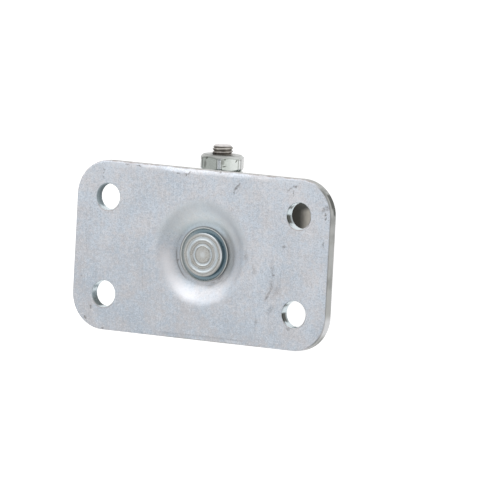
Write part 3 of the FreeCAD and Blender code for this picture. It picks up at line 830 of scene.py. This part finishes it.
@dataclass(frozen=True, kw_only=True)
class RivetSteel(Finish):
    """The king pin: turned lands worn to warm steel, zinc left in its rings, grease and painted shade in its
    groove, and a painted highlight on its rim.
    """

    name: str = "king_pin_steel"
    metallic: float = 0.95
    warm: Colour = (0.46, 0.452, 0.42)
    zinc: Colour = (0.80, 0.86, 0.92)
    plated: Colour = (0.64, 0.71, 0.76)
    # Grease, and painted shade, in the groove.
    grease: Colour = (0.205, 0.285, 0.33)
    line: Colour = (0.14, 0.14, 0.135)
    collar: Colour = (0.66, 0.68, 0.67)
    small_ring: float = 3.35
    large_ring: float = 5.55
    button_radius: float = 7.45
    collar_foot: float = 8.55
    collar_edge: float = 9.3

    def coat(self, shader: Shader) -> Coat:
        """Work out the pin's head from its middle to its collar.

        Args:
            shader: The material to work in.

        Returns:
            The finished coat.
        """
        away = shader.around_z()
        radius = away + shader.scattered(0.36, 2.6, 2.0)
        grain = 0.5 + shader.scattered(0.9, 0.5) + shader.scattered(0.6, 2.2)
        land = shader.blend(grain * 0.30, self.warm, self.zinc)
        turning = shader.noise(0.12, 1.0, shader.add("ShaderNodeCombineXYZ", {"X": radius}).outputs[0])
        height = turning * 0.5 + grain
        coat = Coat(shader, land, grain.between(0.24, 0.42), height)
        coat.cover(self.zinc, radius.step(1.6, 0.3) * 0.4)
        for ring, reach in ((self.small_ring, 0.60), (self.large_ring, 0.95)):
            coat.cover(self.plated, radius.ridge(ring, reach) * 0.9)
            coat.cover(self.line, radius.ridge(ring + reach, 0.28) * 0.52)
            coat.cover(self.line, radius.ridge(ring - reach, 0.28) * 0.45)
        self.shade_and_grease_groove(coat, away)
        return coat

    def shade_and_grease_groove(self, coat: Coat, away: Number) -> None:
        """Fill the groove round the button with grease and painted shade, lighter on the left, line its
        borders, and paint a highlight on the button's rim.

        Args:
            coat: The coat of the pin.
            away: The distance from the pin's axis in mm.
        """
        shader = coat.shader
        coat.cover(self.collar, away.step(self.collar_foot - 0.1, self.collar_foot + 0.1))
        button, foot, edge = self.button_radius, self.collar_foot, self.collar_edge
        x, y = (shader.along(axis) for axis in "XY")
        groove = away.band((button - 0.04, button + 0.08), (foot + 0.1, foot - 0.1))
        # The groove's grease is partly painted shade, lighter on the left.
        grease_and_shade_share = x.step(-8.5, -2.0).between(0.45, 0.95)
        coat.cover(self.grease, groove * grease_and_shade_share)
        lip = away.step(edge - 0.42, edge - 0.25)
        coat.cover(self.line, lip * y.step(-3.0, -8.0) * 0.55)
        coat.cover(self.line, away.step(edge - 0.1, edge) * 0.6)
        # Painted highlight on the button's rim towards the upper right.
        rim = away.ridge(button - 0.2, 0.3)
        coat.cover(self.zinc, rim * (x + y).step(2.0, 8.0) * 0.7)


@dataclass(frozen=True, kw_only=True)
class PlatedSteel(Finish):
    """Small plated or plain steel pieces: smooth, with soft stains and fine rubbing."""

    relief: float = 0.014
    metallic: float = 0.95
    light: Colour
    shade: Colour
    smooth: float
    rough: float
    grain_size: float = 0.6

    def coat(self, shader: Shader) -> Coat:
        """Work out the steel: shade to light by its stains, with fine dark rubbing.

        Args:
            shader: The material to work in.

        Returns:
            The finished coat.
        """
        cloud = (
            0.5
            + shader.scattered(0.35, self.grain_size)
            + shader.scattered(0.45, self.grain_size * 5)
            + shader.scattered(0.2, self.grain_size * 20)
        )
        colour = shader.blend(cloud, self.shade, self.light)
        roughness = shader.noise(1.6, 3.0).between(self.smooth, self.rough)
        coat = Coat(shader, colour, roughness, cloud)
        coat.cover(self.shade, shader.hairlines(9.0, 0.8, 35.0, 0.008) * 0.35)
        return coat


@dataclass(frozen=True, kw_only=True)
class NutZinc(PlatedSteel):
    """The nut's zinc: a dull chamfer, painted highlights on its corners, its right-hand side and its
    chamfer, painted shade on its left-hand side, painted dark lines at the corners, and dirt along its
    borders.
    """

    face: float = 13.0
    flat_half: float = 3.2
    corner_half: float = 4.16
    chamfer_angle: float = 35.0
    # The colour of the painted highlights.
    bright: Colour = (0.74, 0.76, 0.75)
    dull: Colour = (0.35, 0.357, 0.345)
    dirt: Colour = (0.06, 0.06, 0.05)
    dents: tuple[Mark, ...] = (
        *marks_of(
            Wear.STAIN,
            (0.2, 27.4, 1.5, 0.9, 88.0), (-5.9, 26.4, 2.0, 0.6, 88.0),
        ),
        *marks_of(
            Wear.SCORE,
            (0.7, 26.0, 1.0, 0.34, 12.0), (0.9, 28.4, 0.40, 0.40),
            (4.9, 28.0, 0.9, 0.30, 60.0), (-5.4, 28.6, 0.7, 0.4, 50.0),
        ),
    )

    def flats_turn(self) -> float:
        """Find how the hexagon stands about the axle.

        Each face of the mesh that looks away from the axle has an angle about it. Six times that angle
        is the same for all flats, so the mean of the unit vectors at six times the angle, weighted by
        the faces' areas, gives six times the hexagon's turn.

        Returns:
            The angle of one flat's normal from +X towards +Z.
        """
        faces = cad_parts["axle_nut"].data.polygons
        normals = np.empty(len(faces) * 3)
        areas = np.empty(len(faces))
        faces.foreach_get("normal", normals)
        faces.foreach_get("area", areas)
        normals = normals.reshape(-1, 3)
        sideways = np.abs(normals[:, 1]) < 0.05
        angles = np.arctan2(normals[sideways, 2], normals[sideways, 0])
        return float(np.angle(np.sum(areas[sideways] * np.exp(6j * angles)))) / 6

    def coat(self, shader: Shader) -> Coat:
        """Work out the plated steel with its chamfer, corners and borders.

        Args:
            shader: The material to work in.

        Returns:
            The finished coat.
        """
        coat = super().coat(shader)
        outer_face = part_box("axle_nut")[1].y / MM
        away = shader.from_axle()
        radius = shader.length(away)
        angle = shader.turn_about_axle() + (FULL_TURN - self.flats_turn())
        from_flat = shader.math("PINGPONG", angle, SIXTH / 2)
        along_flat = radius * shader.math("SINE", from_flat)
        slant = math.tan(math.radians(self.chamfer_angle))
        rise = shader.along("Y") + (radius - self.face / 2) * slant
        top = shader.along("Y").step(outer_face - 0.06, outer_face - 0.02)
        chamfer = shader.most(top, rise.step(outer_face - 0.30, outer_face - 0.12))
        side = 1.0 - chamfer
        corner = along_flat.step(self.flat_half + 0.1, self.flat_half + 0.4)
        lines = shader.most(
            along_flat.ridge(self.flat_half - 0.05, 0.24),
            rise.ridge(outer_face - 0.50, 0.28) * 0.65,
        )
        broken = shader.noise(1.4, 2.0).between(0.5, 1.1)
        aside = shader.dot(away, PAINTED_LIGHT_WAY)
        # Painted shade on the side towards the camera's left, and painted highlight towards its right.
        coat.cover(self.shade, aside.step(0.0, -1.5) * side * 0.25)
        coat.cover(self.bright, aside.step(1.0, 4.0) * side * 0.36)
        # Painted highlight along each corner.
        coat.cover(self.bright, corner * side, 0.30)
        coat.cover(self.dull, aside.step(5.9, 6.5) * side * 0.85)
        coat.cover(self.dull, chamfer, 0.30)
        # Painted highlight on the chamfer's right-hand part.
        coat.cover(self.bright, chamfer * aside.step(0.5, 3.0) * 0.3)
        coat.cover(self.dirt, top * radius.step(6.0, 4.2) * 0.7)
        near_bolt = abs(aside).step(4.8, 3.4)
        coat.cover(self.dirt, chamfer * near_bolt * radius.step(7.4, 6.4) * 0.55)
        # Painted dark lines at and next to each corner, a dark reflection flanking the corner highlights;
        # dirt below the chamfer.
        coat.cover(self.dirt, along_flat.ridge(self.corner_half, 0.12) * side * 0.4)
        coat.cover(self.dirt, lines * side * broken * 0.95)
        coat.cover(self.dirt, radius.ridge(self.face / 2 + 0.1, 0.22) * chamfer * 0.55)
        seen = shader.add("ShaderNodeCombineXYZ", {"X": aside, "Y": shader.along("Y")}).outputs[0]
        coat.cover(self.dirt, shader.most(*[shader.oval(seen, dent) for dent in self.dents]))
        return coat


@dataclass(frozen=True, kw_only=True)
class BoltSteel(PlatedSteel):
    """The bolt's steel: grime and painted shade in the thread's roots, painted shade down two sides, and a
    pale rubbed end.
    """

    crest_radius: float = 3.6
    # Grime, and painted shade on the thread.
    grime: Colour = (0.10, 0.088, 0.075)
    pale: Colour = (0.70, 0.675, 0.67)

    def coat(self, shader: Shader) -> Coat:
        """Work out the steel with the thread's grime and the rubbed end.

        Args:
            shader: The material to work in.

        Returns:
            The finished coat.
        """
        coat = super().coat(shader)
        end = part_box("axle_bolt")[1].y / MM
        threaded = shader.along("Y").step(end - 16.0, end - 14.0)
        # Grime and painted shade in the thread's roots.
        root = shader.around_axle().step(self.crest_radius - 0.10, self.crest_radius - 0.40)
        coat.cover(self.grime, root * threaded * 0.7)
        # Painted shade down the thread's two sides, seen left and right.
        away = shader.vector("NORMALIZE", shader.from_axle())
        aside = abs(shader.dot(away, PAINTED_LIGHT_WAY))
        coat.cover(self.grime, aside.step(0.40, 1.0) * threaded * 0.68)
        coat.cover(self.pale, shader.along("Y").step(end - 0.8, end - 0.3) * 0.85)
        return coat


@dataclass(frozen=True, kw_only=True)
class TyreRubber(Finish):
    """Dark rubber: a half matt skin with fine pores and dusted scuffs, and a painted pool of light on its
    running face.
    """

    name: str = "tyre_rubber"
    relief: float = 0.01
    specular: float = 0.18
    body: Colour = (0.015, 0.014, 0.0085)
    # The pale colour of the dusted scuffs and of the painted light.
    dust_and_light: Colour = (0.56, 0.53, 0.47)
    painted_light_from: float = -4.5
    painted_light_half_width: float = 12.9

    def scuff_dust_and_painted_light(self, shader: Shader) -> Number:
        """Work out where the tyre turns pale: in thinly dusted scuffs, and with painted light on one stretch
        of the running face.

        The painted light begins at one angle about the axle and at one border of the running face, and fades
        away from both.

        Args:
            shader: The material to work in.

        Returns:
            How much dusting and painted light there is, from 0 to 1.
        """
        turn = shader.turn_about_axle() + shader.scattered(0.03, 2.0, 3.0)
        turn = shader.math("DEGREES", turn)
        across = shader.along("Y")
        # A painted pool of light on the part of the running face that the plate leaves unshaded.
        painted_light_patch = (
            turn.step(self.painted_light_from + 7.0, self.painted_light_from - 7.0)
            * turn.step(self.painted_light_from - 78.0, self.painted_light_from - 16.0)
            * across.step(self.painted_light_half_width + 1.0, self.painted_light_half_width - 1.0)
            * across.step(-self.painted_light_half_width - 2.0, -self.painted_light_half_width + 9.0)
            * 0.9
        )
        scuffs = shader.noise(1.0, 3.0, shader.stretched(1.2, 9.0)).step(0.55, 0.75)
        return shader.most(painted_light_patch, scuffs * 0.04)

    def coat(self, shader: Shader) -> Coat:
        """Work out the rubber with its pores, dusted scuffs and painted light.

        Args:
            shader: The material to work in.

        Returns:
            The finished coat.
        """
        patches = shader.noise(6.0, 4.0)
        colour = shader.blend(self.scuff_dust_and_painted_light(shader), self.body, self.dust_and_light)
        height = shader.noise(0.35, 2.0) + patches * 0.6
        return Coat(shader, colour, patches.between(0.40, 0.60), height)


@dataclass(frozen=True, kw_only=True)
class MouldedPlastic(Finish):
    """Injection moulded plastic: an even body with flow clouds and a finely eroded skin."""

    body: Colour
    cloud: Colour
    roughness: float

    def coat(self, shader: Shader) -> Coat:
        """Work out the plastic with its flow clouds.

        Args:
            shader: The material to work in.

        Returns:
            The finished coat.
        """
        skin = shader.noise(0.25, 2.0)
        colour = shader.blend(shader.noise(9.0, 3.0), self.body, self.cloud)
        roughness = shader.math("MULTIPLY_ADD", skin, 0.12, self.roughness)
        return Coat(shader, colour, roughness, skin)


def axle_middle() -> Vector:
    """Return the middle of the axle in metres, from the sleeve that lies evenly about it."""
    low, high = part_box("axle_sleeve")
    return (low + high) / 2


def dress(node: str, material: bpy.types.Material) -> None:
    """Give a CAD node its finish.

    Args:
        node: The node's name.
        material: The finish.
    """
    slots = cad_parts[node].data.materials
    slots.clear()
    slots.append(material)
    log.info("%s wears %s", node, material.name)


def surface_of_rings(name: str, rings: np.ndarray) -> bpy.types.Object:
    """Make a closed mesh from rings of points, with a pole at each end.

    Quads join point j of ring i to point j + 1 and to ring i + 1; a fan of triangles joins the first
    and the last ring to the middle of that ring.

    Args:
        name: The piece's name.
        rings: Points in metres, shaped rings by points by 3, in turning order about the path.

    Returns:
        The piece, linked to the scene.
    """
    count, around, _ = rings.shape
    poles = np.stack([rings[0].mean(axis=0), rings[-1].mean(axis=0)])
    points = np.concatenate([rings.reshape(-1, 3), poles])
    index = np.arange(count * around).reshape(count, around)
    after = np.roll(index, -1, axis=1)
    quads = np.stack([index[:-1], after[:-1], after[1:], index[1:]], axis=-1).reshape(-1, 4)
    first_pole = np.full(around, count * around)
    start = np.stack([after[0], index[0], first_pole], axis=-1)
    finish = np.stack([index[-1], after[-1], first_pole + 1], axis=-1)
    mesh = bpy.data.meshes.new(name)
    mesh.from_pydata(points, [], quads.tolist() + start.tolist() + finish.tolist())
    mesh.shade_smooth()
    mesh.set_sharp_from_angle(angle=SHARP_EDGE)
    piece = bpy.data.objects.new(name, mesh)
    bpy.context.scene.collection.objects.link(piece)
    return piece


@dataclass
class ThreadedBolt:
    """The axle bolt with its rolled thread, in mm along its own axis from under the head.

    Half a pitch of thread is a flat crest, a flank and a rounded root, given as shares. The rings that
    close the head's face and the bolt's end are given as shares of their outer radius.
    """

    crest_radius: float = 3.6
    pitch: float = 1.15
    thread_depth: float = 0.48
    thread_length: float = 15.0
    crest_share: float = 0.16
    flank_share: float = 0.74
    root_from: float = 0.8
    end_chamfer: float = 1.0
    head_flats: float = 13.0
    head_face: float = 12.2
    head_height: float = 5.3
    chamfer_angle: float = 35.0
    face_rings: tuple[float, ...] = (0.35, 0.75, 0.97)
    end_rings: tuple[float, ...] = (0.94, 0.6, 0.25)
    around: int = 96
    rows_per_turn: int = 18

    def shank_heights(self, length: float) -> np.ndarray:
        """Space the shank's rings, close together along the thread.

        Args:
            length: The shank's length in mm.

        Returns:
            Heights above the head's seat in mm.
        """
        thread_start = length - self.thread_length
        rows = int(self.thread_length / self.pitch * self.rows_per_turn)
        plain = np.linspace(0.0, thread_start, 6, endpoint=False)
        return np.concatenate([plain, np.linspace(thread_start, length, rows)])

    def shank_radii(self, heights: np.ndarray, turn: np.ndarray, length: float) -> np.ndarray:
        """Work out the shank's radius at each height and turn.

        The thread's phase is the height in pitches less the turn in whole turns. The distance of the
        phase from a crest, from 0 to 1, gives the depth: a flat crest, straight flanks and a rounded
        root. The depth grows over the first pitches, and a cone takes off the bolt's end.

        Args:
            heights: Heights above the head's seat in mm.
            turn: Angles about the axis.
            length: The shank's length in mm.

        Returns:
            Radii in mm, heights by turns.
        """
        phase = (heights[:, None] / self.pitch - turn[None, :] / FULL_TURN) % 1.0
        from_crest = 1.0 - np.abs(2.0 * phase - 1.0)
        flank = np.clip((from_crest - self.crest_share) / self.flank_share, 0.0, 1.0)
        hollow = 1.0 - self.root_from
        rounded = self.root_from + hollow * np.sin((flank - self.root_from) / hollow * math.pi / 2)
        root = np.where(flank > self.root_from, rounded, flank)
        run_in = np.clip((heights - (length - self.thread_length)) / (2 * self.pitch), 0.0, 1.0)
        radius = self.crest_radius - self.thread_depth * root * run_in[:, None]
        cone = self.crest_radius - self.end_chamfer + (length - heights)
        return np.minimum(radius, cone[:, None])

    def head_rings(self, turn: np.ndarray) -> tuple[np.ndarray, np.ndarray]:
        """Work out the head's rings, from its outer face to its seat.

        The hexagon's radius at a turn is half its flats over the cosine of the angle from the nearest
        flat's middle. The chamfer lowers the side's outer end by the radius beyond the face's circle
        times the tangent of the chamfer's angle.

        Args:
            turn: Angles about the axis.

        Returns:
            Radii and heights in mm, rings by turns.
        """
        from_flat = (turn % SIXTH) - SIXTH / 2
        hexagon = self.head_flats / 2 / np.cos(from_flat)
        face = np.full_like(turn, self.head_face / 2)
        outer = np.full_like(turn, -self.head_height)
        chamfer = outer + np.maximum(hexagon - face, 0.0) * math.tan(math.radians(self.chamfer_angle))
        seat = np.zeros_like(turn)
        inner = np.array(self.face_rings)[:, None] * face
        radii = np.concatenate([inner, [face, hexagon, hexagon]])
        heights = np.concatenate([np.tile(outer, (len(inner) + 1, 1)), [chamfer, seat]])
        return radii, heights

    def build(self) -> bpy.types.Object:
        """Turn the bolt's profile about the axle, from the head's face to the threaded end.

        A ring's point lies at its radius times the cosine of the turn along X and the sine along -Z
        from the axle, and at its height along Y.

        Returns:
            The piece, which rides on the fork and takes the plain bolt's place.
        """
        low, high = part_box("axle_bolt")
        axle = (low + high) / 2
        length = (high.y - low.y) / MM - self.head_height
        turn = np.arange(self.around) * FULL_TURN / self.around
        heights = self.shank_heights(length)
        shank = self.shank_radii(heights, turn, length)
        head_radii, head_heights = self.head_rings(turn)
        end = np.array(self.end_rings)[:, None] * shank[-1]
        radii = np.concatenate([head_radii, shank, end])
        shank_rows = np.repeat(heights[:, None], self.around, axis=1)
        along = np.concatenate([head_heights, shank_rows, np.full_like(end, length)])
        rings = np.stack([
            axle.x + radii * np.cos(turn) * MM,
            low.y + (along + self.head_height) * MM,
            axle.z - radii * np.sin(turn) * MM,
        ], axis=-1)
        piece = surface_of_rings("threaded_axle_bolt", rings)
        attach(piece, "swivel_fork")
        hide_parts("axle_bolt")
        log.info("%s has %d faces", piece.name, len(piece.data.polygons))
        return piece


@dataclass
class MountingPlate:
    """The dished plate, the king pin riveted into it, and the race that the pin holds up."""

    sheet: PlateZinc
    pin: RivetSteel
    race: ZincSheet

    def dress(self) -> None:
        """Give the three pieces their finishes."""
        dress("top_plate", self.sheet.material())
        dress("king_pin", self.pin.material())
        dress("lower_race", self.race.material())


@dataclass
class SwivelFork:
    """The pressed fork and what its axle bolt clamps."""

    sheet: ZincSheet
    bolt: ThreadedBolt
    bolt_steel: BoltSteel
    nut_zinc: NutZinc
    washer_zinc: PlatedSteel

    def build(self) -> None:
        """Make the threaded bolt and give every piece its finish."""
        dress("fork", self.sheet.material())
        steel = self.bolt_steel.material()
        self.bolt.build().data.materials.append(steel)
        dress("axle_sleeve", steel)
        dress("axle_nut", self.nut_zinc.material())
        dress("lock_washer", self.washer_zinc.material())


@dataclass
class Wheel:
    """The moulded core, its tyre and its two bushes."""

    tyre: TyreRubber
    core: MouldedPlastic
    bush: MouldedPlastic

    def dress(self) -> None:
        """Give the four pieces their finishes."""
        dress("tread", self.tyre.material())
        dress("wheel_hub", self.core.material())
        nylon = self.bush.material()
        for side in ("nut", "head"):
            dress(f"bush_{side}_side", nylon)


@dataclass
class BallRings:
    """The balls of the two races."""

    steel: PlatedSteel

    def dress(self) -> None:
        """Give every ball the same polished steel."""
        polished = self.steel.material()
        for node in sorted(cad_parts):
            if "_ball_" in node:
                dress(node, polished)


@dataclass(frozen=True)
class Softbox:
    """A large soft lamp: where it hangs, its size in metres and how bright its face is."""

    name: str
    place: tuple[float, float, float]
    width: float
    height: float
    brightness: float

    def hang(self) -> None:
        """Hang the lamp, facing the part's origin."""
        lamp = bpy.data.lights.new(self.name, "AREA")
        lamp.shape = "RECTANGLE"
        lamp.size = self.width
        lamp.size_y = self.height
        lamp.energy = self.brightness * math.pi * self.width * self.height
        holder = bpy.data.objects.new(self.name, lamp)
        holder.location = self.place
        holder.rotation_euler = Vector(self.place).to_track_quat("Z", "Y").to_euler()
        bpy.context.scene.collection.objects.link(holder)


@dataclass
class Studio:
    """The floor, the lamps and the camera of the photograph.

    The camera's direction is a turn from +Z towards +X and a lift towards +Y, its picture is rolled, and
    it aims beside the part's origin, because the part stands left of the picture's middle.
    """

    floor_size: float = 40.0
    floor_colour: Colour = (0.45, 0.45, 0.45)
    floor_glow: float = 0.82
    room_light: float = 0.62
    turn: float = 29.913
    lift: float = 5.444
    roll: float = 2.96
    distance: float = 2410.6
    aim_right: float = 16.88
    aim_up: float = 1.72
    view_width: float = 170.13
    lamps: tuple[Softbox, ...] = (
        Softbox("top_softbox", (-0.4, 0.85, 0.55), 1.9, 1.1, 1.0),
        Softbox("front_softbox", (-0.9, -0.15, 1.5), 1.6, 1.6, 0.25),
        Softbox("low_softbox", (-0.5, -1.0, 0.45), 1.4, 1.0, 0.35),
        Softbox("right_softbox", (1.1, -0.1, 0.3), 0.9, 0.9, 0.8),
    )

    def floor_finish(self) -> bpy.types.Material:
        """Make the floor's pale finish, which glows a little without lighting the part.

        The glow shows where the camera sees the floor, straight, mirrored or through glass.

        Returns:
            The material.
        """
        shader = Shader("pale_floor")
        rays = shader.add("ShaderNodeLightPath").outputs
        seen = shader.most(*[rays[f"Is {kind} Ray"] for kind in ("Camera", "Glossy", "Transmission")])
        return shader.surfaced({
            "Base Color": self.floor_colour,
            "Roughness": 1.0,
            "Specular IOR Level": 0.0,
            "Emission Color": (1.0, 1.0, 1.0),
            "Emission Strength": seen * self.floor_glow,
        })

    def lay_floor(self) -> None:
        """Lay the pale floor under the wheel."""
        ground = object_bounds()[0].z
        half = self.floor_size / 2
        corner = np.array([[-half, -half], [half, -half], [half, half], [-half, half]])
        points = np.column_stack([corner, np.full(4, ground)])
        mesh = bpy.data.meshes.new("floor")
        mesh.from_pydata(points, [], [(0, 1, 2, 3)])
        floor = bpy.data.objects.new("floor", mesh)
        bpy.context.scene.collection.objects.link(floor)
        mesh.materials.append(self.floor_finish())
        floor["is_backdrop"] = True

    def light(self) -> None:
        """Fill the room with even light and hang the lamps."""
        world = bpy.data.worlds.new("studio_room")
        world.use_nodes = True
        room = world.node_tree.nodes["Background"]
        room.inputs["Color"].default_value = (1.0, 1.0, 1.0, 1.0)
        room.inputs["Strength"].default_value = self.room_light
        bpy.context.scene.world = world
        for lamp in self.lamps:
            lamp.hang()

    def set_camera(self) -> None:
        """Stand the camera where the photograph was taken from."""
        turn, lift, roll = (math.radians(angle) for angle in (self.turn, self.lift, self.roll))
        back = Vector((math.sin(turn) * math.cos(lift), math.sin(lift), math.cos(turn) * math.cos(lift)))
        level = Vector((math.cos(turn), 0.0, -math.sin(turn)))
        upright = back.cross(level)
        right = level * math.cos(roll) + upright * math.sin(roll)
        up = back.cross(right)
        place = back * self.distance
        target = right * self.aim_right + up * self.aim_up
        away = (place - target).normalized()
        across = up.cross(away).normalized()
        axes = Matrix((across, away.cross(across), away)).transposed()
        camera = bpy.data.cameras.new("photo_camera")
        camera.sensor_width = 36.0
        camera.lens = camera.sensor_width * self.distance / self.view_width
        camera.clip_start = 0.1
        camera.clip_end = 100.0
        holder = bpy.data.objects.new("photo_camera", camera)
        holder.matrix_world = Matrix.Translation(place * MM) @ axes.to_4x4()
        bpy.context.scene.collection.objects.link(holder)
        bpy.context.scene.camera = holder

    def build(self) -> None:
        """Set up the whole studio."""
        bpy.context.scene.view_settings.view_transform = "Standard"
        self.lay_floor()
        self.light()
        self.set_camera()
        log.info("studio with %d lamps", len(self.lamps))


def main() -> None:
    """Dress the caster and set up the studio."""
    logging.basicConfig(level=logging.INFO, format="%(name)s: %(message)s")
    plate_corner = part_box("top_plate")[1] / MM
    MountingPlate(
        sheet=PlateZinc(name="plate_zinc_sheet", half_length=plate_corner.x, half_width=plate_corner.y),
        pin=RivetSteel(),
        race=ZincSheet(name="race_zinc_sheet"),
    ).dress()
    nut_tone = {"light": (0.53, 0.565, 0.535), "shade": (0.33, 0.36, 0.335), "smooth": 0.14, "rough": 0.28}
    SwivelFork(
        sheet=ZincSheet(name="fork_zinc_sheet"),
        bolt=ThreadedBolt(),
        bolt_steel=BoltSteel(
            name="bolt_steel", light=(0.66, 0.63, 0.59), shade=(0.38, 0.355, 0.325), smooth=0.24, rough=0.40,
            grain_size=0.4,
        ),
        nut_zinc=NutZinc(name="nut_zinc", **nut_tone),
        washer_zinc=PlatedSteel(name="washer_zinc", **nut_tone),
    ).build()
    Wheel(
        tyre=TyreRubber(),
        core=MouldedPlastic(
            name="core_plastic", body=(0.045, 0.045, 0.047), cloud=(0.06, 0.06, 0.062), roughness=0.42,
        ),
        bush=MouldedPlastic(
            name="bush_nylon", body=(0.66, 0.63, 0.56), cloud=(0.74, 0.71, 0.64), roughness=0.38,
        ),
    ).dress()
    BallRings(PlatedSteel(
        name="ball_steel", light=(0.66, 0.66, 0.66), shade=(0.56, 0.56, 0.56), smooth=0.06, rough=0.16,
        grain_size=1.2,
    )).dress()
    Studio().build()


if __name__ == "__main__":
    main()
